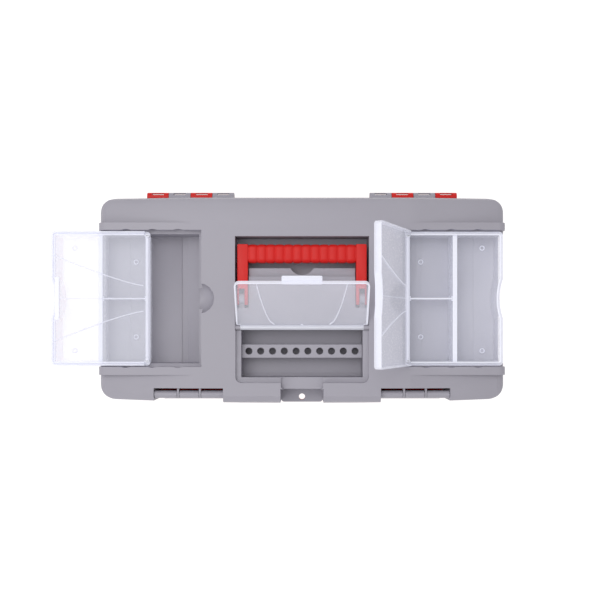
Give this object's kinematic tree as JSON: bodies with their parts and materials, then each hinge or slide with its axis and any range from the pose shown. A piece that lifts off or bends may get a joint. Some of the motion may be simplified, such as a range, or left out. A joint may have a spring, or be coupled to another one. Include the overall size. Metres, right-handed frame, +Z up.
{
  "type": "toolbox with tray",
  "caption": "Plastic toolbox with lift-out tray, hinged lid with slide-out lidded organisers, carry handle, clear-covered bit bay and front latches.",
  "frame": {"origin": "centre of the case's flat underside", "axes": "+X along the box to its right, +Y to the hinges at the back, +Z up; the latches face -Y"},
  "size_m": [0.4625, 0.223, 0.2882],
  "materials": {
    "grey": "fine moulded texture, satin",
    "red": "moulded, satin",
    "frosted": "see-through frosted polypropylene",
    "tray": "fine moulded texture, matt",
    "pin": "drawn wire"
  },
  "bodies": {
    "case": {"case_body": "red", "hinge_pin_left": "pin", "hinge_pin_right": "pin"},
    "tray": {"tray": "tray", "tray_spine": "tray"},
    "lid": {"lid_shell": "grey", "bit_rack": "grey", "latch_pin_left": "pin", "latch_pin_right": "pin", "handle_pin_left": "pin", "handle_pin_right": "pin"},
    "latch_left": {"latch_left": "grey"},
    "latch_right": {"latch_right": "grey"},
    "handle": {"carry_handle": "red"},
    "cover": {"centre_cover": "frosted", "cover_hinge_rod": "pin"},
    "organiser_left": {"organiser_box_left": "frosted", "organiser_divider_left": "frosted"},
    "organiser_right": {"organiser_box_right": "frosted", "organiser_divider_right": "frosted"},
    "organiser_lid_left": {"organiser_lid_left": "frosted"},
    "organiser_lid_right": {"organiser_lid_right": "frosted"}
  },
  "joints": [
    {"name": "lid_hinge", "type": "hinge", "parent": "case", "child": "lid", "pos_m": [0, 0.1112, 0.152], "axis": [-1, 0, 0], "range_deg": [0, 105]},
    {"name": "tray_lift", "type": "slide", "parent": "case", "child": "tray", "axis": [0, 0, 1], "range_m": [0, 0.008]},
    {"name": "latch_left_hinge", "type": "hinge", "parent": "lid", "child": "latch_left", "pos_m": [-0.1155, -0.0961, 0.191], "axis": [-1, 0, 0], "range_deg": [-4, 110]},
    {"name": "latch_right_hinge", "type": "hinge", "parent": "lid", "child": "latch_right", "pos_m": [0.1155, -0.0961, 0.191], "axis": [-1, 0, 0], "range_deg": [-4, 110]},
    {"name": "handle_hinge", "type": "hinge", "parent": "lid", "child": "handle", "pos_m": [0, 0.0015, 0.1905], "axis": [1, 0, 0], "range_deg": [0, 90]},
    {"name": "cover_hinge", "type": "hinge", "parent": "lid", "child": "cover", "pos_m": [0, -0.0279, 0.197], "axis": [-1, 0, 0], "range_deg": [-143, 0]},
    {"name": "organiser_left_slide", "type": "slide", "parent": "lid", "child": "organiser_left", "axis": [-1, 0, 0], "range_m": [-0.0495, 0.053]},
    {"name": "organiser_right_slide", "type": "slide", "parent": "lid", "child": "organiser_right", "axis": [1, 0, 0], "range_m": [0, 0.1025]},
    {"name": "organiser_lid_left_hinge", "type": "hinge", "parent": "organiser_left", "child": "organiser_lid_left", "pos_m": [-0.1571, 0.0017, 0.1968], "axis": [0, 1, 0], "range_deg": [0, 114]},
    {"name": "organiser_lid_right_hinge", "type": "hinge", "parent": "organiser_right", "child": "organiser_lid_right", "pos_m": [0.1076, 0.0017, 0.1968], "axis": [0, -1, 0], "range_deg": [-114, 0]}
  ],
  "couplings": [
    {"joint": "cover_hinge", "follows": "handle_hinge", "ratio": -1.5889}
  ]
}
